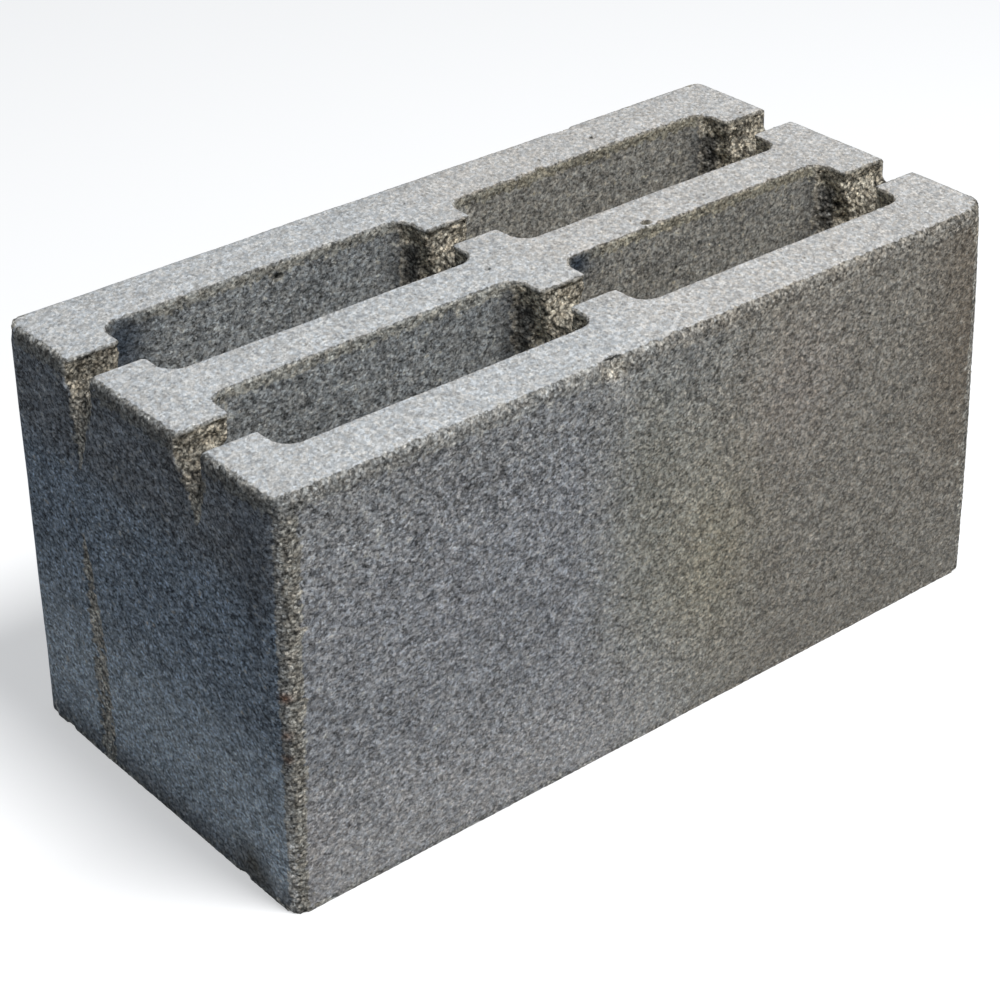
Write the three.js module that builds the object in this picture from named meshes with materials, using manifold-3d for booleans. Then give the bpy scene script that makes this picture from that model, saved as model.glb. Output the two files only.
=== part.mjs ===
// Hollow concrete block with four cells in two rows, vibrated and pressed in a steel mould.
// It stands as it leaves the machine: lower face on the pallet, pressed face up.
//
// Millimetres, +Z up, +X along the length. The origin is the middle of the lower face.
//
// The cores hang in the mould from two flat bars that cross its top from end to end. The
// bars leave a groove through all three cross webs of each row, and the cores are tapered
// so that they draw out upwards, so every cell is a little wider at the top.

import * as THREE from 'three';
import { mergeVertices } from 'three/addons/utils/BufferGeometryUtils.js';
import Module from 'manifold-3d';

// Outside of the block
const BLOCK_LENGTH = 390;
const BLOCK_WIDTH = 190;
const BLOCK_HEIGHT = 190;
const CORNER_RADIUS = 6; // upright corners
const TOP_ARRIS_RADIUS = 4; // edge all round the pressed face

// Walls, measured at the top, where they are thinnest
const FACE_SHELL = 31.5; // front and back walls
const MIDDLE_WALL = 26; // wall between the two rows of cells
const END_WEB = 28;
const CENTRE_WEB = 26.5;

// Cells
const CELL_CORNER_RADIUS = 8;
const CELL_DRAFT = 1.5; // how far each cell wall leans in from top to bottom

// Grooves of the core bars
const GROOVE_WIDTH = 16.5;
const GROOVE_DEPTH = 12;
const GROOVE_FLOOR_RADIUS = 3;
const TAB_RADIUS = 3.5; // upright corners of the webs where a groove cuts them

// Cutters run this far past the faces that they cut
const OVERRUN = 5;

// Facets: an arc in plan is cut into twice CURVE_SEGMENTS, a rounded edge into EDGE_SEGMENTS
const CURVE_SEGMENTS = 4;
const EDGE_SEGMENTS = 4;

// Sizes that follow
const CELL_LENGTH = (BLOCK_LENGTH - 2 * END_WEB - CENTRE_WEB) / 2;
const CELL_WIDTH = (BLOCK_WIDTH - 2 * FACE_SHELL - MIDDLE_WALL) / 2;
const CELL_X = (CENTRE_WEB + CELL_LENGTH) / 2;
const ROW_Y = (MIDDLE_WALL + CELL_WIDTH) / 2;

const wasm = await Module();
wasm.setup();

function toSolid(geometry) {
  const bare = geometry.clone();
  bare.deleteAttribute('normal');
  bare.deleteAttribute('uv');
  const merged = mergeVertices(bare, 1e-4);
  const mesh = new wasm.Mesh({
    numProp: 3,
    vertProperties: new Float32Array(merged.attributes.position.array),
    triVerts: new Uint32Array(merged.index.array),
  });
  mesh.merge();
  return new wasm.Manifold(mesh);
}

function toGeometry(solid) {
  const mesh = solid.getMesh();
  const geometry = new THREE.BufferGeometry();
  geometry.setAttribute('position', new THREE.BufferAttribute(mesh.vertProperties, 3));
  geometry.setIndex(new THREE.BufferAttribute(mesh.triVerts, 1));
  geometry.computeVertexNormals();
  return geometry;
}

function roundedRectangle(length, width, radius) {
  const x = length / 2;
  const y = width / 2;
  const outline = new THREE.Shape();
  outline.moveTo(x, -y + radius);
  outline.absarc(x - radius, y - radius, radius, 0, Math.PI / 2);
  outline.absarc(-x + radius, y - radius, radius, Math.PI / 2, Math.PI);
  outline.absarc(-x + radius, -y + radius, radius, Math.PI, 1.5 * Math.PI);
  outline.absarc(x - radius, -y + radius, radius, 1.5 * Math.PI, 2 * Math.PI);
  return outline;
}

// The whole block before anything is cut from it: a prism with a rounded top edge. It is
// drawn with both ends rounded, and the lower end is cut off square at the pallet.
function blockBody() {
  const spare = 2 * TOP_ARRIS_RADIUS;
  const prism = new THREE.ExtrudeGeometry(
    roundedRectangle(BLOCK_LENGTH, BLOCK_WIDTH, CORNER_RADIUS),
    {
      depth: BLOCK_HEIGHT + spare - 2 * TOP_ARRIS_RADIUS,
      curveSegments: CURVE_SEGMENTS,
      bevelThickness: TOP_ARRIS_RADIUS,
      bevelSize: TOP_ARRIS_RADIUS,
      bevelOffset: -TOP_ARRIS_RADIUS,
      bevelSegments: EDGE_SEGMENTS,
    },
  );
  prism.translate(0, 0, TOP_ARRIS_RADIUS - spare);
  const belowPallet = new THREE.BoxGeometry(2 * BLOCK_LENGTH, 2 * BLOCK_WIDTH, 2 * spare);
  belowPallet.translate(0, 0, -spare);
  return toSolid(prism).subtract(toSolid(belowPallet));
}

// One core: a rounded rectangle whose sides lean in towards the bottom.
function core(x, y) {
  const height = BLOCK_HEIGHT + 2 * OVERRUN;
  const outline = roundedRectangle(CELL_LENGTH, CELL_WIDTH, CELL_CORNER_RADIUS);
  const geometry = new THREE.ExtrudeGeometry(outline, {
    depth: height,
    curveSegments: CURVE_SEGMENTS,
    bevelEnabled: false,
  });
  geometry.translate(0, 0, -OVERRUN);
  const position = geometry.attributes.position;
  for (let i = 0; i < position.count; i += 1) {
    const lean = CELL_DRAFT * (1 - position.getZ(i) / BLOCK_HEIGHT);
    position.setX(i, position.getX(i) * (1 - (2 * lean) / CELL_LENGTH));
    position.setY(i, position.getY(i) * (1 - (2 * lean) / CELL_WIDTH));
  }
  geometry.translate(x, y, 0);
  return toSolid(geometry);
}

// The groove that a core bar leaves in one web. In plan it is straight in the middle and
// flares out on both sides of the web, round the rounded corners of the tabs beside it.
// The cutter is wider still past the faces of the web, where there is nothing to cut.
function grooveThroughWeb(webX, webThickness, y) {
  const leanAtFloor = CELL_DRAFT * (GROOVE_DEPTH / BLOCK_HEIGHT);
  const face = webThickness / 2 + leanAtFloor;
  const reach = face + 2 * GROOVE_FLOOR_RADIUS + OVERRUN;
  const turn = face - TAB_RADIUS;
  const flare = GROOVE_WIDTH / 2 + TAB_RADIUS;
  const wide = flare + GROOVE_FLOOR_RADIUS;
  const plan = new THREE.Shape();
  plan.moveTo(reach, -wide);
  plan.lineTo(reach, wide);
  plan.lineTo(face, wide);
  plan.absarc(turn, flare, TAB_RADIUS, 0, -Math.PI / 2, true);
  plan.absarc(-turn, flare, TAB_RADIUS, -Math.PI / 2, -Math.PI, true);
  plan.lineTo(-face, wide);
  plan.lineTo(-reach, wide);
  plan.lineTo(-reach, -wide);
  plan.lineTo(-face, -wide);
  plan.absarc(-turn, -flare, TAB_RADIUS, Math.PI, Math.PI / 2, true);
  plan.absarc(turn, -flare, TAB_RADIUS, Math.PI / 2, 0, true);
  plan.lineTo(face, -wide);
  const groove = new THREE.ExtrudeGeometry(plan, {
    depth: GROOVE_DEPTH + OVERRUN,
    curveSegments: CURVE_SEGMENTS,
    bevelThickness: GROOVE_FLOOR_RADIUS,
    bevelSize: GROOVE_FLOOR_RADIUS,
    bevelOffset: -GROOVE_FLOOR_RADIUS,
    bevelSegments: EDGE_SEGMENTS,
  });
  groove.translate(webX, y, BLOCK_HEIGHT - GROOVE_DEPTH + GROOVE_FLOOR_RADIUS);
  return toSolid(groove);
}

function makeBlock() {
  const webs = [
    { x: -(BLOCK_LENGTH - END_WEB) / 2, thickness: END_WEB },
    { x: 0, thickness: CENTRE_WEB },
    { x: (BLOCK_LENGTH - END_WEB) / 2, thickness: END_WEB },
  ];
  let block = blockBody();
  for (const y of [-ROW_Y, ROW_Y]) {
    for (const x of [-CELL_X, CELL_X]) {
      block = block.subtract(core(x, y));
    }
    for (const web of webs) {
      block = block.subtract(grooveThroughWeb(web.x, web.thickness, y));
    }
  }
  return block;
}

const concrete = new THREE.MeshStandardMaterial({
  color: 0x8c8c89,
  roughness: 0.95,
  metalness: 0,
});

const hollowBlock = new THREE.Mesh(toGeometry(makeBlock()), concrete);
hollowBlock.name = 'hollow_block';

const model = new THREE.Group();
model.add(hollowBlock);

export default model;
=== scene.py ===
# A hollow concrete block, fresh from a block machine and a little worn by handling: one
# casting with four cells, grooves of the core bars and the open, sandy grain of dry concrete.
# Sizes are in millimetres until MM turns them into Blender's metres.
from math import pi, radians

import bpy
import numpy as np
from mathutils import Matrix, Vector


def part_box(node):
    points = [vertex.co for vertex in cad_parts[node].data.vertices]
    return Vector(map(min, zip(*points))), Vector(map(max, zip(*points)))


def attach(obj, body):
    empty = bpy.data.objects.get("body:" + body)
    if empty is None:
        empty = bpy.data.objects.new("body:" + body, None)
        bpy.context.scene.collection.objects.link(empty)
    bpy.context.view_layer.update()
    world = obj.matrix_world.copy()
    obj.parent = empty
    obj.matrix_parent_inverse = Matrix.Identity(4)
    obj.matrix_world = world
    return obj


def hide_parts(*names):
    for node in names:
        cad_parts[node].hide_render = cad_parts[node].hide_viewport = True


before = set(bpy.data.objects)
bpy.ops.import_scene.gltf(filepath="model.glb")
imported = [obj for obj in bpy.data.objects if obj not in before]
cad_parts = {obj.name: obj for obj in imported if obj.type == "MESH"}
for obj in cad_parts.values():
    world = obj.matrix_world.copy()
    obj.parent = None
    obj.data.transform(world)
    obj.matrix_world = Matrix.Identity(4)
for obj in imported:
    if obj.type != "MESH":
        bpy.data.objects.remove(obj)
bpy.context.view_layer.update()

# ---------------------------------------------------------------------------------------
# Camera. A long lens looks down on the block from beyond its front left corner. Its angles
# turn it from looking straight at the front face, and its place is given along its own axes.
# ---------------------------------------------------------------------------------------
MM = 0.001
AZIMUTH = radians(-39.565)
ELEVATION = radians(29.179)
ROLL = radians(-0.553)
AIM = Vector((0, 0, 94)) * MM
CAMERA_PLACE = Vector((-8.428, 23.95, 1147.13)) * MM  # right of, above and behind the aim
FOCAL_LENGTH = 93.9
SENSOR_WIDTH = 36
SHIFT_UP = -0.1

camera = bpy.data.objects.new("camera", bpy.data.cameras.new("camera"))
bpy.context.collection.objects.link(camera)
bpy.context.scene.camera = camera
camera.data.sensor_width = SENSOR_WIDTH
camera.data.lens = FOCAL_LENGTH
camera.data.shift_y = SHIFT_UP
turn = (
    Matrix.Rotation(AZIMUTH, 3, "Z")
    @ Matrix.Rotation(pi / 2 - ELEVATION, 3, "X")
    @ Matrix.Rotation(ROLL, 3, "Z")
)
camera.matrix_world = Matrix.Translation(AIM + turn @ CAMERA_PLACE) @ turn.to_4x4()

# ---------------------------------------------------------------------------------------
# The block: one casting of cement, sand and fine gravel, vibrated and pressed in a mould. Its
# pressed face and its moulded walls are closed and even. Its grooves, the concrete under them
# and its arrises are open, and the coarse inside shows there.
# ---------------------------------------------------------------------------------------
FACE_SHELL = 31.5
MIDDLE_WALL = 26
END_WEB = 28
CENTRE_WEB = 26.5
CELL_CORNER_RADIUS = 8
GROOVE_WIDTH = 16.5
GROOVE_DEPTH = 12
MERGE_DISTANCE = 0.01

low, high = (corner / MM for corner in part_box("hollow_block"))
CELL_LENGTH = (high.x - low.x - 2 * END_WEB - CENTRE_WEB) / 2
CELL_WIDTH = (high.y - low.y - 2 * FACE_SHELL - MIDDLE_WALL) / 2
CELL_X = (CENTRE_WEB + CELL_LENGTH) / 2
ROW_Y = (MIDDLE_WALL + CELL_WIDTH) / 2

bpy.ops.object.select_all(action="DESELECT")
block = bpy.data.objects.new("cast_block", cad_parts["hollow_block"].data.copy())
bpy.context.collection.objects.link(block)
bpy.context.view_layer.objects.active = block
block.select_set(True)
bpy.ops.object.mode_set(mode="EDIT")
bpy.ops.mesh.select_all(action="SELECT")
bpy.ops.mesh.remove_doubles(threshold=MERGE_DISTANCE * MM)
bpy.ops.object.mode_set(mode="OBJECT")

# Where concrete broke away or fell out: the middle of each hollow, and its half sizes.
CHIPS = [
    ((-29, -97, 187.5), (9, 6, 5.5)),  # front top arris
    ((-3, -96.5, 191), (6, 4, 4)),
    ((152, -96, 190), (4, 3.5, 3)),
    ((201, -101, 192), (17, 14, 12)),  # front right corner
    ((-202, 98, 191), (12, 12, 10)),  # back left corner
    ((104, 96, 190.5), (6, 5, 4)),  # back top arris
    ((-196, 71, -1), (2, 3, 2)),  # lower arris of the left end
    ((-196, -60, 0), (1.5, 3, 2.5)),
    ((68, 63, 188), (3, 3, 2.5)),  # back right cell
    ((-79, 64, 182.5), (2.2, 2.5, 1.6)),  # back left cell
    ((65.2, -8.8, 190), (2.3, 1.8, 4.5)),  # pits in the pressed face
    ((61.3, -12.5, 190), (1.9, 1.6, 3.6)),
    ((109, 75.4, 190), (2, 1.3, 1.5)),
    ((-16, 1, 190), (1.3, 1.3, 1.2)),
]
LUMP_SIZE = 4
LUMP_HEIGHT = 0.5  # as a share of the hollow's smallest half size
lumps = bpy.data.textures.new("lumps", "CLOUDS")
lumps.noise_scale = LUMP_SIZE * MM


def hollow_cutter(place, half_sizes):
    """A lumpy ball of the given half sizes, ready to be cut out of the block."""
    bpy.ops.mesh.primitive_ico_sphere_add(subdivisions=3, radius=1)
    ball = bpy.context.object
    bpy.ops.object.mode_set(mode="EDIT")
    bpy.ops.transform.resize(value=Vector(half_sizes) * MM)
    bpy.ops.transform.translate(value=Vector(place) * MM)
    bpy.ops.object.mode_set(mode="OBJECT")
    unevenness = ball.modifiers.new("unevenness", "DISPLACE")
    unevenness.texture = lumps
    unevenness.texture_coords = "LOCAL"
    unevenness.strength = LUMP_HEIGHT * min(half_sizes) * MM
    bpy.ops.object.modifier_apply(modifier=unevenness.name)
    return ball


cutters = [hollow_cutter(*chip) for chip in CHIPS]
bpy.ops.object.select_all(action="DESELECT")
for cutter in cutters:
    cutter.select_set(True)
bpy.context.view_layer.objects.active = cutters[0]
bpy.ops.object.join()
cutter = bpy.context.object
bpy.ops.object.select_all(action="DESELECT")
bpy.context.view_layer.objects.active = block
block.select_set(True)
broken = block.modifiers.new("broken away", "BOOLEAN")
broken.object = cutter
broken.solver = "EXACT"
broken.use_self = True
bpy.ops.object.modifier_apply(modifier=broken.name)
bpy.data.objects.remove(cutter)

VOXEL = 1.0


def even_mesh():
    """Covers the block with even faces, fine enough for its coarse sand."""
    voxels = block.modifiers.new("voxels", "REMESH")
    voxels.mode = "VOXEL"
    voxels.voxel_size = VOXEL * MM
    bpy.ops.object.modifier_apply(modifier=voxels.name)


def at_vertices(mesh, name):
    """The X, Y and Z of what the mesh keeps under that name at every vertex."""
    flat = np.empty(len(mesh.vertices) * 3)
    mesh.vertices.foreach_get(name, flat)
    return flat.reshape(-1, 3).T


def places(mesh):
    """Where every vertex is, in millimetres."""
    return at_vertices(mesh, "co") / MM


def move_to(mesh, x, y, z):
    """Puts every vertex at its X, Y and Z, given in millimetres."""
    mesh.vertices.foreach_set("co", (np.stack([x, y, z], 1) * MM).ravel())
    mesh.update()


def ease(value, full, none):
    """1 where the value is at full, 0 where it is at none, and smooth between them."""
    t = np.clip((value - none) / (full - none), 0, 1)
    return t * t * (3 - 2 * t)


def gaps(x, y, z):
    """How far each vertex lies below the top and in from the nearest end and face, then how
    far it is out of the nearest groove, out of the straight part of the nearest cell's length,
    and out of the nearest cell. Below 0 it is within them."""
    depth = high.z - z
    end_gap = high.x - abs(x)
    face_gap = high.y - abs(y)
    row = abs(abs(y) - ROW_Y)
    past_x = abs(abs(x) - CELL_X) - CELL_LENGTH / 2 + CELL_CORNER_RADIUS
    past_y = row - CELL_WIDTH / 2 + CELL_CORNER_RADIUS
    from_cell = np.hypot(np.maximum(past_x, 0), np.maximum(past_y, 0)) - CELL_CORNER_RADIUS
    return depth, end_gap, face_gap, row - GROOVE_WIDTH / 2, past_x, from_cell


# The upright corners are rubbed rounder than the mould left them. For each corner, by the
# sides of X and Y that it is on: its radius at the foot and at the top.
CORNER_WEAR = {(-1, -1): (6, 11), (1, -1): (7, 18), (-1, 1): (12, 10.5), (1, 1): (7, 9)}

even_mesh()
x, y, z = places(block.data)
for (side_x, side_y), (foot_radius, top_radius) in CORNER_WEAR.items():
    radius = foot_radius + (top_radius - foot_radius) * (z / high.z) ** 2
    from_centre_x = side_x * x - high.x + radius
    from_centre_y = side_y * y - high.y + radius
    reach = np.hypot(from_centre_x, from_centre_y)
    worn = (from_centre_x > 0) & (from_centre_y > 0) & (reach > radius)
    cut_back = (radius / np.maximum(reach, radius) - 1) * worn
    x += side_x * from_centre_x * cut_back
    y += side_y * from_centre_y * cut_back


def rub(from_face, depth, radius_in, radius_down, power=2):
    """How far in and down each vertex goes when an arris is rubbed off: with power 2 to a
    quarter of an oval, with power 1 to a flat slope. What lies more than 1 mm outside the
    face belongs to another arris and stays."""
    share_in = np.clip(1 - from_face / radius_in, 0, 1) * (from_face > -1)
    share_down = np.clip(1 - depth / radius_down, 0, 1)
    size = (share_in**power + share_down**power) ** (1 / power)
    past = 1 - 1 / np.maximum(size, 1)
    return share_in * radius_in * past, share_down * radius_down * past


# The sharp arrises of the cells and of the grooves are rubbed round as well.
ARRIS_RADIUS = 1.6
depth, end_gap, _, from_groove, past_x, from_cell = gaps(x, y, z)
row = from_groove + GROOVE_WIDTH / 2
past_y = row - CELL_WIDTH / 2 + CELL_CORNER_RADIUS
away_x = np.maximum(past_x, 0) * np.sign(x * (abs(x) - CELL_X))
away_y = np.maximum(past_y, 0) * np.sign(y * (abs(y) - ROW_Y))
far = np.maximum(np.hypot(away_x, away_y), 0.001)
inwards, down = rub(from_cell, depth, ARRIS_RADIUS, ARRIS_RADIUS)
x += inwards * away_x / far
y += inwards * away_y / far
z -= down
inwards, down = rub(from_groove, depth, ARRIS_RADIUS, ARRIS_RADIUS)
y += inwards * np.sign(y * (abs(y) - ROW_Y))
z -= down

# Under every groove loose concrete slid down the faces of the web, so its floor rolls over
# into them. On the ends of the block it left a wedge under each groove, and low on the left
# end a streak. They are given from the bottom up, as points of height, Y and half width.
END_WEDGES = [
    ((142, 41, 0), (151, 40, 2), (163, 39, 5), (175, 36.5, 8.5), (190, 35.5, 12)),
    ((156, -43, 0), (164, -43, 3.5), (169, -41.5, 6.5), (183, -42, 9.5), (190, -42, 13)),
]
LEFT_STREAK = ((0, 40, 5), (3, 40, 5.5), (62, 40.5, 5), (92, 43, 3.5), (112, 44, 0))
ROLL_TO_CELL = (10, 30, 1.3)  # how far in and how far down, and the power, for rub
ROLL_TO_END = (5, 22, 1.5)
BULGE = 2  # how far the slid concrete stands out from the web


def from_streak(points, y, z):
    """How far each vertex is from the middle of a streak, and the streak's half width there."""
    heights, middles, widths = np.array(points).T
    width = np.interp(z, heights, widths, left=0, right=0)
    return abs(y - np.interp(z, heights, middles)), width


below_floor = depth - GROOVE_DEPTH
under = ease(below_floor, -1, -4)
into_web = past_x - CELL_CORNER_RADIUS
inwards, down = rub(into_web, below_floor, *ROLL_TO_CELL)
under_groove = under * ease(row, 11, 16)
slid_out = BULGE * ease(row, 7, 16) * ease(below_floor, 24, 8) * ease(below_floor, 36, 80)
inwards = inwards * under_groove - slid_out * ease(into_web, 0.5, 3)
x += inwards * np.sign(x * (abs(x) - CELL_X))
z -= down * under_groove
inwards, down = rub(end_gap, below_floor, *ROLL_TO_END)
for points in END_WEDGES:
    off, width = from_streak(points, y, z)
    in_wedge = under * ease(off, width * 0.3, width + 0.01) * ease(z, 172, 156)
    in_wedge = in_wedge * ease(from_groove, -2, 2)
    x -= inwards * in_wedge * np.sign(x)
    z -= down * in_wedge
move_to(block.data, x, y, z)
even_mesh()

# The front right corner is rubbed open as well: the middle and the half sizes of that.
RUBBED_CORNER = ((193, -94, 185), (15, 8, 13))


def far_from(x, y, z, centre, half_sizes):
    """How far each vertex is from the centre, where a half size away counts as 1."""
    return np.hypot.reduce([(a - c) / h for a, c, h in zip((x, y, z), centre, half_sizes)])


def open_concrete(x, y, z):
    """How raw each vertex is, where concrete fell out, and how much it lies on an arris."""
    depth, end_gap, face_gap, from_groove, past_x, from_cell = gaps(x, y, z)
    edge_gap = np.minimum(end_gap, face_gap)

    # Raw in the grooves, down the webs under them, and in the wedges and the streak.
    below_top = ease(depth, 3, 1)
    groove = ease(from_groove, 1.5, 3.5) * ease(end_gap, 2, 1) * ease(depth, 40, 60)
    groove = groove * np.maximum(ease(end_gap, 9, 5), ease(depth, 13, 17))
    web = ease(past_x, 8, 3) * ease(edge_gap, 16, 12) * ease(depth, 24, 45)
    streaks = np.zeros_like(x)
    for points in [*END_WEDGES, LEFT_STREAK]:
        off, width = from_streak(points, y, z)
        streak = ease(off, width * 0.5, width * 1.4 + 0.5) * (width > 0)
        if points is LEFT_STREAK:
            streak = streak * (x < 0) * np.where(depth < 100, 1, 0.8)
        streaks = np.maximum(streaks, streak)
    streaks = streaks * ease(end_gap, 5, 8)
    streaks = streaks * np.maximum(ease(depth, 13, 8), from_groove < 0)
    raw = np.maximum.reduce([groove * below_top, web * below_top, streaks])

    # Open along the arrises of the cells and the top, at the upright corners and at the foot.
    cell_arris = ease(np.minimum(from_cell, from_groove), 0.7, 1.8) * ease(depth, 3, 8)
    top_arris = ease(edge_gap, 2.4, 4.2) * ease(depth, 4, 10)
    at_back = y > 85
    at_right_end = (x > 186) & (y > -80)
    top_arris = top_arris * np.where(at_back, 0.6 * ease(x, -60, -160), 1)
    top_arris = top_arris * np.where(at_right_end, 0.4, 1)
    corner_width = 5 + 4 * z / high.z
    corner = ease(end_gap, corner_width, corner_width * 1.6) * ease(face_gap, 3, 5.5)
    corner = np.maximum(corner, ease(far_from(x, y, z, *RUBBED_CORNER), 0.7, 1.1))
    foot = ease(z, 1.5, 4) * ease(edge_gap, 1, 2) * 0.6
    chips = np.zeros_like(x)
    for chip in CHIPS:
        chips = np.maximum(chips, ease(far_from(x, y, z, *chip), 1.1, 1.35))
    raw = np.maximum(raw, 0.7 * chips * (edge_gap < 20))
    return raw, np.maximum.reduce([cell_arris, top_arris, corner, foot, chips])


GRADES = 16


def in_grades(name, weight):
    """A vertex group that holds the weight, from 0 to 1, in a few grades."""
    group = block.vertex_groups.new(name=name)
    grade = np.round(weight * GRADES).astype(int)
    for step in range(1, GRADES + 1):
        chosen = np.flatnonzero(grade == step).tolist()
        if chosen:
            group.add(chosen, step / GRADES, "REPLACE")


def roughen(name, basis, size, depth, level, group=""):
    """Displaces the surface by lumps of that size and pits of that depth. The level is the
    share of the depth that stands out instead."""
    texture = bpy.data.textures.new(name, "CLOUDS")
    texture.noise_basis = basis
    texture.noise_scale = size * MM
    texture.noise_depth = 1
    dents = block.modifiers.new(name, "DISPLACE")
    dents.texture = texture
    dents.texture_coords = "LOCAL"
    dents.mid_level = level
    dents.strength = -depth * MM
    dents.vertex_group = group
    bpy.ops.object.modifier_apply(modifier=dents.name)


raw, arris = open_concrete(*places(block.data))
in_grades("raw", raw)
in_grades("open", np.maximum(raw, arris))
in_grades("loose", np.maximum(raw, 0.5 * arris))
roughen("waves", "BLENDER_ORIGINAL", size=30, depth=0.5, level=0)
roughen("unevenness", "BLENDER_ORIGINAL", size=9, depth=2, level=0.35, group="raw")
before = places(block.data)
outward = at_vertices(block.data, "normal")
roughen("pebbles", "VORONOI_F1", size=3.4, depth=1.7, level=0.33, group="raw")
roughen("coarse sand", "VORONOI_F1", size=2, depth=1.3, level=0.4, group="loose")
# How deep the coarse sand left each vertex, for the painted shade in the pits of the material.
sunk = -((places(block.data) - before) * outward).sum(0) * MM
block.data.attributes.new("sunk", "FLOAT", "POINT").data.foreach_set("value", sunk)

# The closed faces are the smoothest, so most of the triangles that go are theirs. No stone
# stands out past the real size of the block.
MOST_TRIANGLES = 195000
thinner = block.modifiers.new("thinner", "DECIMATE")
thinner.ratio = MOST_TRIANGLES / (2 * len(block.data.polygons))
thinner.vertex_group = "open"
thinner.invert_vertex_group = True
thinner.vertex_group_factor = 1
thinner.use_collapse_triangulate = True
bpy.ops.object.modifier_apply(modifier=thinner.name)
block.vertex_groups.clear()
x, y, z = places(block.data)
move_to(block.data, x.clip(low.x, high.x), y.clip(low.y, high.y), z.clip(low.z, high.z))
bpy.ops.object.shade_smooth()


def linear(hex_colour):
    """An sRGB colour, written as six hex digits, as Blender's linear colour."""
    channels = [int(hex_colour[i : i + 2], 16) / 255 for i in (0, 2, 4)]
    return [c / 12.92 if c <= 0.04045 else ((c + 0.055) / 1.055) ** 2.4 for c in channels] + [1]


# The colour of the cement at each vertex, closed and open, is kept for the material, with
# painted shade in some hollows and corners and on faces that turn up. It goes by where the
# vertex is: on an end, inside the cells and grooves, or on the pressed face.
x, y, z = places(block.data)
raw, arris = open_concrete(x, y, z)
depth, end_gap, face_gap, from_groove, past_x, from_cell = gaps(x, y, z)
facing_x, _, facing_up = at_vertices(block.data, "normal")
on_end = ease(abs(facing_x), 0.7, 0.45) * (end_gap < 12)
inside = (np.minimum(end_gap, face_gap) > 12) & (depth > 1.5)
pressed = ease(depth, 0.8, 2.2)


def blend(base, hex_colour, amount):
    """The base colours, turned towards another colour by the amount at each vertex."""
    return base + (np.array(linear(hex_colour)) - base) * np.clip(amount, 0, 1)[:, None]


def spot(centre, half_sizes):
    """A soft patch: 1 in its middle and almost 0 past its half sizes."""
    return np.exp(-1.5 * far_from(x, y, z, centre, half_sizes) ** 2)


web_corner_shade = ease(past_x, 5, -6) * ((abs(x) - CELL_X) * x > 0)  # at the right end of a cell
CLOSED_TINTS = [
    ("9F9D95", ease(x, -5, -60)),  # the faces, warmer to the right
    ("98938A", ease(x, 70, -10)),
    ("AFAEB1", ease(z, 5, 70) * ease(x, -60, 40) * 0.9),  # paler low on the left
    ("919190", ease(z, 185, 130) * ease(x, 0, 60) * 0.7),  # and darker above
    ("B9B7B4", ease(z, 5, 80) * ease(x, -20, 60) * 0.5),
    ("847A6D", ease(x, 185, 135) * ease(z, 120, 20) * 0.8),  # brown high at the right
    ("8A95A1", on_end),  # the ends: darker and bluer, partly painted skylit shade; paler low down
    ("7E8287", on_end * ease(z, 155, 130)),
    ("B8C2CB", on_end * ease(z, 35, 100)),
    ("8E9093", on_end * ease(z, 4, 16) * 0.9),
    ("939595", inside),  # the cells, warmer to the right too
    ("98958E", inside * ease(x, 30, -30)),
    # Painted shade at the right end of each cell, in its corner by the web.
    ("5E5E5D", inside * web_corner_shade * 0.5),
]
closed = np.tile(linear("9B9C9F"), (len(x), 1))
for hex_colour, amount in CLOSED_TINTS:
    closed = blend(closed, hex_colour, amount)

# Damp, dirty, warm and cool patches: the middle, the half sizes, the colour, how strong.
PATCHES = [
    ((-195, -79, 155), (4, 10, 50), "686E76", 0.9),  # left end, beside the corner
    ((-195, 12, 126), (4, 9, 8), "7D8287", 0.7),
    ((-195, -66, 10), (4, 12, 13), "5E594E", 0.9),
    ((-111, -95, 110), (16, 4, 18), "98999D", 0.8),  # front
    ((-118, -95, 160), (14, 4, 18), "9A9A9C", 0.6),
    ((-8, -95, 125), (18, 4, 60), "97958C", 0.8),
    ((25, -95, 75), (32, 4, 60), "ABA28B", 0.5),
    ((75, -95, 140), (35, 4, 40), "A69D95", 0.5),
    ((-185, -95, 30), (16, 4, 26), "B3AFAE", 0.6),
]
for centre, half_sizes, hex_colour, strength in PATCHES:
    closed = blend(closed, hex_colour, spot(centre, half_sizes) * strength)
# The pressed face is pale and clean.
closed = blend(closed, "B4B5B5", pressed)
closed = blend(closed, "B6B4B1", pressed * ease(x, 30, -30))

# Painted shade on open faces that turn upwards, outside the cells and less at the back.
upward_shade = ease(facing_up, 0.4, 0) * ~inside * np.where(y > 85, 0.3, 1)
corner = ease(end_gap, 12, 16) * ease(depth, 12, 6)
cell_arris = inside * ease(raw, 0, 0.5)
far_web_shade = ease(from_groove, 8.5, 5) * ease(depth, 12, 9)
OPEN_TINTS = [
    ("98938A", ease(x, 40, -40)),  # the outer arrises, with painted shade where they turn upwards
    ("A09C93", corner * (1 - on_end)),
    ("80807D", on_end * ease(depth, 8, 12)),
    ("000000", (0.26 + 0.14 * on_end) * upward_shade),
    ("A19F97", cell_arris),
    ("9D9787", cell_arris * ease(x, 60, -30)),
    ("C8BEAB", raw * inside),  # raw concrete in the cells, the grooves and on the ends
    # Painted shade on the raw web past the groove, towards the corner of the cell.
    ("83807A", raw * inside * far_web_shade),
    ("B3AB9B", raw * ease(from_groove, 2, 3) * ease(end_gap, 2, 1)),
    ("B9B4AA", raw * on_end),
    ("A09A8F", raw * on_end * ease(z, 173, 155)),
    # Painted shade on raw concrete that faces upwards.
    ("000000", raw * ease(facing_up, 0.95, 0.1) * 0.5),
    ("CFCBC4", on_end * ease(z, 15, 60) * ease(face_gap, 12, 16)),  # foot of the corners
    ("000000", inside * (y > 45) * ease(depth, 9, 12) * 0.15),  # painted shade, darker deeper down in the back cells
]
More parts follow.
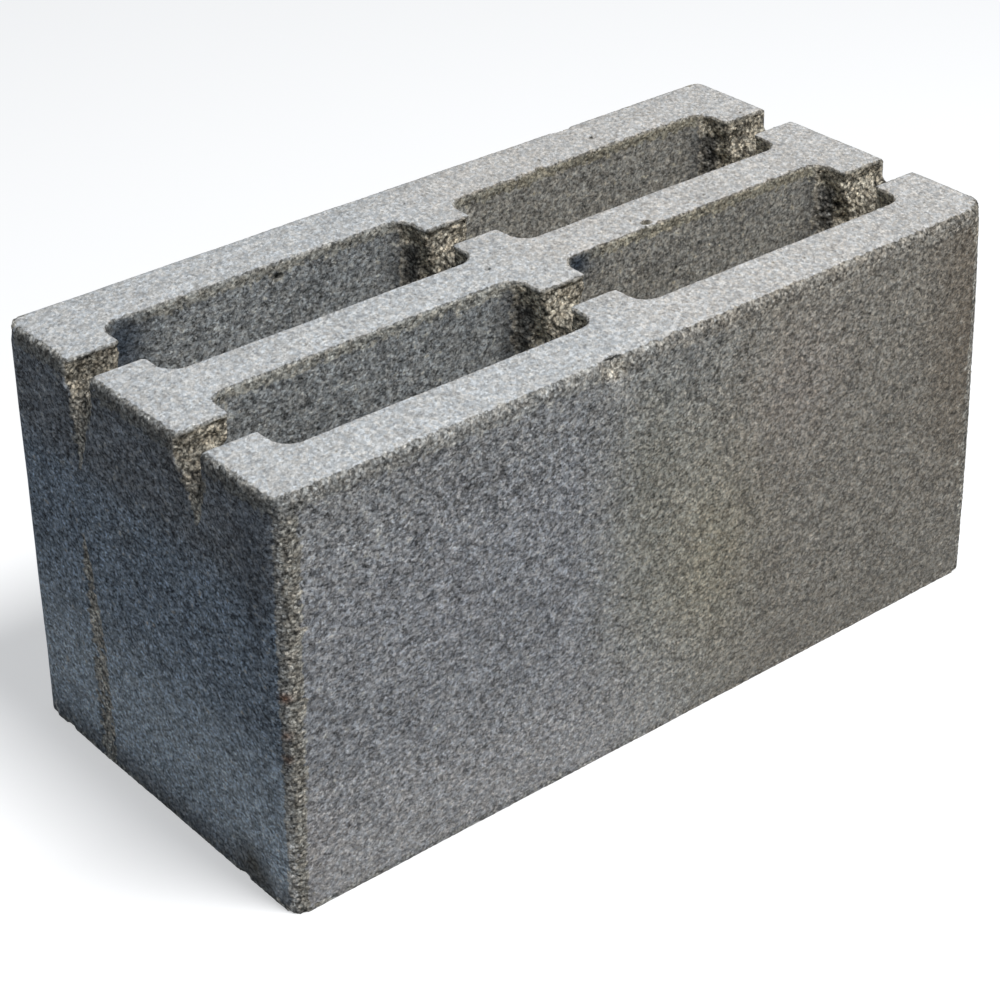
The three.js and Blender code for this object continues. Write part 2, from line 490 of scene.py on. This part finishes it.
opened = np.tile(linear("9A9995"), (len(x), 1))
for hex_colour, amount in OPEN_TINTS:
    opened = blend(opened, hex_colour, amount)

# Small marks and spots of painted shade on both, given as the patches are. None of them
# reaches the pressed face.
MARKS = [
    ((-193, -93, 103), (3, 3, 2.5), "85593F", 0.85),  # rust
    ((-193, -93, 86), (2.5, 3, 2.5), "85593F", 0.55),
    ((-193, -93, 75), (2.5, 3, 2.5), "85593F", 0.55),
    ((65.2, -8.8, 188), (3.5, 2.8, 3), "1C1B1A", 1),  # painted shade in the pits of the pressed face
    ((61.3, -12.5, 188), (2.8, 2.4, 2.5), "1C1B1A", 1),
    ((-79, 64, 182.5), (2.6, 4, 2), "1C1B1A", 0.9),  # painted shade in the pit of the back left cell
    ((-29, -94, 185.5), (11, 5, 5), "B5AEA0", 0.8),  # stone in the chip of the front arris
    # Painted shade in the upper part of that chip.
    ((-29, -91, 190), (10, 2.5, 1.8), "3A3936", 0.8),
    ((190, -93, 178), (8, 5, 14), "B0A48F", 0.6),  # front right corner
    ((-183, 45, 181), (16, 9, 12), "4E4B45", 0.7),  # painted shade in the grooves at the left end
    ((-190, -34, 181), (13, 13, 11), "4E4B45", 0.8),
    ((-12, 38, 176), (10, 14, 16), "4E4B45", 0.5),  # painted shade in the back groove of the centre web
    ((-157, 62, 177), (16, 12, 26), "404954", 1),  # painted shade in the corner of the back left cell
    ((22, -13, 185), (13, 7, 10), "404954", 1),  # and of the front right cell
]
for centre, half_sizes, hex_colour, strength in MARKS:
    amount = spot(centre, half_sizes) * strength * ease(depth, 1.6, 0.6)
    closed = blend(closed, hex_colour, amount)
    opened = blend(opened, hex_colour, amount)

# How strong the grain is, how open the surface is and how loose its coarse sand lies.
contrast = 1.05 + 0.15 * ease(z, 160, 120) - 0.2 * ease(z, 10, 40) - 0.1 * ease(x, 60, 20)
contrast = contrast + 0.1 * ease(z, 120, 60) * ease(x, -80, -20)
contrast = contrast + (1.45 - 0.4 * ease(z, 50, 110) - contrast) * on_end
contrast = contrast + (0.54 - contrast) * pressed
outer = np.minimum(end_gap, face_gap) < 12
loose = np.maximum(raw, np.where(outer, np.where(depth < 8, 0.5, 0.85), 0.25) * arris)
gradings = {"contrast": contrast, "opening": np.maximum(raw, arris), "loose": loose}
for name, values in gradings.items():
    block.data.attributes.new(name, "FLOAT", "POINT").data.foreach_set("value", values)
for name, colours in {"closed cement and shade": closed, "open cement and shade": opened}.items():
    attribute = block.data.attributes.new(name, "FLOAT_COLOR", "POINT")
    attribute.data.foreach_set("color", colours.ravel())

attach(block, "root")
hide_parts("hollow_block")

# Pressed concrete: grey cement paste over sand. The eye sees a dry, matt, salt-and-pepper
# grain of pale and dark sand with tiny pores, and brown coarse sand where it is open.
concrete = bpy.data.materials.new("pressed concrete")
concrete.use_nodes = True
nodes = concrete.node_tree.nodes
links = concrete.node_tree.links
shader = nodes["Principled BSDF"]
shader.inputs["Roughness"].default_value = 0.95
shader.inputs["Specular IOR Level"].default_value = 0.3


def add(kind, inputs, **settings):
    """Adds a node. Each input is a number, a colour, a node or one of a node's outputs. A Mix
    node's inputs go by number: 0 is the factor, 2 and 3 are numbers, 6 and 7 colours."""
    new = nodes.new("ShaderNode" + kind)
    for name, value in settings.items():
        setattr(new, name, value)
    for name, value in inputs.items():
        if isinstance(value, bpy.types.Node):
            value = value.outputs[0]
        if isinstance(value, bpy.types.NodeSocket):
            links.new(value, new.inputs[name])
        else:
            new.inputs[name].default_value = value
    return new


# Patterns are in millimetres. The finest sand, of 0.1 to 0.5 mm, wouldn't show, so it is drawn
# as 0.6 and 0.7 mm. The grain lies a little longer along one diagonal of the block.
GRAIN_TURN = radians(-39.565)
LONGER = 1.6
place_mm = add(
    "Mapping",
    {
        "Vector": add("TexCoord", {}).outputs["Object"],
        "Rotation": (0, 0, GRAIN_TURN),
        "Scale": (MM, LONGER * MM, MM),
    },
    vector_type="TEXTURE",
)
fine_sand = add("TexNoise", {"Vector": place_mm, "Scale": 1 / 0.6, "Detail": 0})
sand = add("TexNoise", {"Vector": place_mm, "Scale": 1 / 1.2, "Detail": 0})
coarse_sand = add("TexNoise", {"Vector": place_mm, "Scale": 1 / 2.4, "Detail": 0})
patches = add("TexNoise", {"Vector": place_mm, "Scale": 1 / 6, "Detail": 1})
clouds = add("TexNoise", {"Vector": place_mm, "Scale": 1 / 22, "Detail": 2})
grains = add("TexVoronoi", {"Vector": place_mm, "Scale": 1 / 1.1})
grain_tone = add("SeparateColor", {0: grains.outputs["Color"]})
specks = add("TexVoronoi", {"Vector": place_mm, "Scale": 1 / 0.7})
speck_tone = add("SeparateColor", {0: specks.outputs["Color"]})

# The grain, as a swing about 0: each pattern's middle is 0.5.
WEIGHTS = (
    (fine_sand, 0.3),
    (speck_tone, 0.3),
    (sand, 0.3),
    (grain_tone, 0.42),
    (coarse_sand, 0.45),
    (patches, 0.28),
    (clouds, 0.12),
)
swing = -0.5 * sum(weight for grain, weight in WEIGHTS)
for grain, weight in WEIGHTS:
    swing = add("Math", {0: grain, 1: weight, 2: swing}, operation="MULTIPLY_ADD")

# Open concrete has a ragged border, as wide as its coarse sand, and a stronger grain.
opening = add("Attribute", {}, attribute_name="opening").outputs["Fac"]
ragged = add("Math", {0: coarse_sand, 1: 1.6, 2: opening}, operation="MULTIPLY_ADD")
open_here = add(
    "MapRange",
    {"Value": ragged, "From Min": 1.1, "From Max": 1.4},
    interpolation_type="SMOOTHSTEP",
)
closed_contrast = add("Attribute", {}, attribute_name="contrast").outputs["Fac"]
looseness = add("Attribute", {}, attribute_name="loose").outputs["Fac"]
open_contrast = add("MapRange", {"Value": looseness, "To Min": 1.12, "To Max": 1.42})
grain_contrast = add("Mix", {0: open_here, 2: closed_contrast, 3: open_contrast})
shade = add("Math", {0: swing, 1: grain_contrast, 2: 1}, operation="MULTIPLY_ADD")
DARKEST = 0.12
shade = add("Math", {0: shade, 1: DARKEST}, operation="MAXIMUM")
SCREEN_GAMMA = 2.2  # the grain is even to the eye, so it is turned to linear light
shade = add("Math", {0: shade, 1: SCREEN_GAMMA}, operation="POWER")

# Loose coarse sand: its stones are paler, and painted shade darkens the gaps between them.
gravel = add("TexVoronoi", {"Vector": place_mm, "Scale": 1 / 1.4})
gap_shade = add(
    "MapRange",
    {
        "Value": gravel.outputs["Distance"],
        "From Min": 0.35,
        "From Max": 0.8,
        "To Min": 1.25,
        "To Max": 0.38,
    },
    interpolation_type="SMOOTHSTEP",
)
gap_shade = add("Mix", {0: looseness, 2: 1.0, 3: gap_shade})
shade = add("Math", {0: shade, 1: gap_shade}, operation="MULTIPLY")

# Painted shade in the pits between the stones: the deeper, the darker.
how_deep = add("Attribute", {}, attribute_name="sunk").outputs["Fac"]
pit_shade = add(
    "MapRange",
    {"Value": how_deep, "From Min": 0.5 * MM, "From Max": 2 * MM, "To Min": 1.1, "To Max": 0.35},
    interpolation_type="SMOOTHSTEP",
)
shade = add("Math", {0: shade, 1: pit_shade}, operation="MULTIPLY")

# The colour of the cement, with cool and warm stones in it, in that shade.
closed_cement_and_shade = add("Attribute", {}, attribute_name="closed cement and shade").outputs["Color"]
open_cement_and_shade = add("Attribute", {}, attribute_name="open cement and shade").outputs["Color"]
cement = add("Mix", {0: open_here, 6: closed_cement_and_shade, 7: open_cement_and_shade}, data_type="RGBA")
gravel_tone = add("SeparateColor", {0: gravel.outputs["Color"]})
tint = add("ValToRGB", {"Fac": gravel_tone})
tint.color_ramp.elements[0].color = linear("F9FCFF")
tint.color_ramp.elements[0].position = 0.15
tint.color_ramp.elements[1].color = linear("FFFCF8")
tint.color_ramp.elements[1].position = 0.85
cement = add(
    "Mix",
    {0: 1.0, 6: cement.outputs[2], 7: tint.outputs[0]},
    data_type="RGBA",
    blend_type="MULTIPLY",
)
colour = add(
    "Mix",
    {0: 1.0, 6: cement.outputs[2], 7: shade},
    data_type="RGBA",
    blend_type="MULTIPLY",
)
links.new(colour.outputs[2], shader.inputs["Base Color"])
CLOSED_BUMP = 0.06
OPEN_BUMP = 0.3
grain_height = add("Math", {0: sand, 1: 0.7, 2: coarse_sand}, operation="MULTIPLY_ADD")
bump_depth = add("Mix", {0: open_here, 2: CLOSED_BUMP * MM, 3: OPEN_BUMP * MM})
bump = add("Bump", {"Height": grain_height, "Distance": bump_depth})
links.new(bump.outputs[0], shader.inputs["Normal"])
block.data.materials.clear()
block.data.materials.append(concrete)

# ---------------------------------------------------------------------------------------
# Floor and light. A wide matt floor in pale grey keeps the block's shadow and glows a little
# where it is seen. One large soft lamp stands above and a little in front of the block, and a
# pale blue studio fills the shade.
# ---------------------------------------------------------------------------------------
FLOOR_SIDE = 20  # metres
bpy.ops.object.select_all(action="DESELECT")
bpy.ops.mesh.primitive_plane_add(size=FLOOR_SIDE, location=(0, 0, 0))
floor = bpy.context.object
floor.name = "floor"
paint = bpy.data.materials.new("pale floor")
paint.use_nodes = True
nodes = paint.node_tree.nodes
links = paint.node_tree.links
shader = nodes["Principled BSDF"]
shader.inputs["Roughness"].default_value = 1
shader.inputs["Specular IOR Level"].default_value = 0
seen = add("LightPath", {})
directly = seen.outputs["Is Camera Ray"]
for ray in ("Is Glossy Ray", "Is Transmission Ray"):
    directly = add("Math", {0: directly, 1: seen.outputs[ray]}, operation="MAXIMUM")
cover = add("Mix", {0: directly, 6: linear("8A8A8A"), 7: linear("D8D8D8")}, data_type="RGBA")
links.new(cover.outputs[2], shader.inputs["Base Color"])
glow = add("Mix", {0: directly, 6: linear("000000"), 7: linear("B8B8B8")}, data_type="RGBA")
links.new(glow.outputs[2], shader.inputs["Emission Color"])
shader.inputs["Emission Strength"].default_value = 1
floor.data.materials.append(paint)

KEY_FROM = Vector((0.08, -0.36, 1)).normalized()
KEY_DISTANCE = 2.2
KEY_SIZE = 0.6
KEY_SHARE = 0.78  # of the light at which a colour on the floor renders as it is written
key = bpy.data.objects.new("key", bpy.data.lights.new("key", "AREA"))
bpy.context.collection.objects.link(key)
key.data.size = KEY_SIZE
key.data.energy = KEY_SHARE * pi * pi * KEY_DISTANCE**2 / KEY_FROM.z
key.location = KEY_FROM * KEY_DISTANCE
key.rotation_euler = KEY_FROM.to_track_quat("Z", "Y").to_euler()

world = bpy.data.worlds.new("studio")
bpy.context.scene.world = world
world.use_nodes = True
background = world.node_tree.nodes["Background"]
background.inputs["Color"].default_value = linear("DCE8F6")
background.inputs["Strength"].default_value = 0.2
bpy.context.scene.view_settings.view_transform = "Standard"
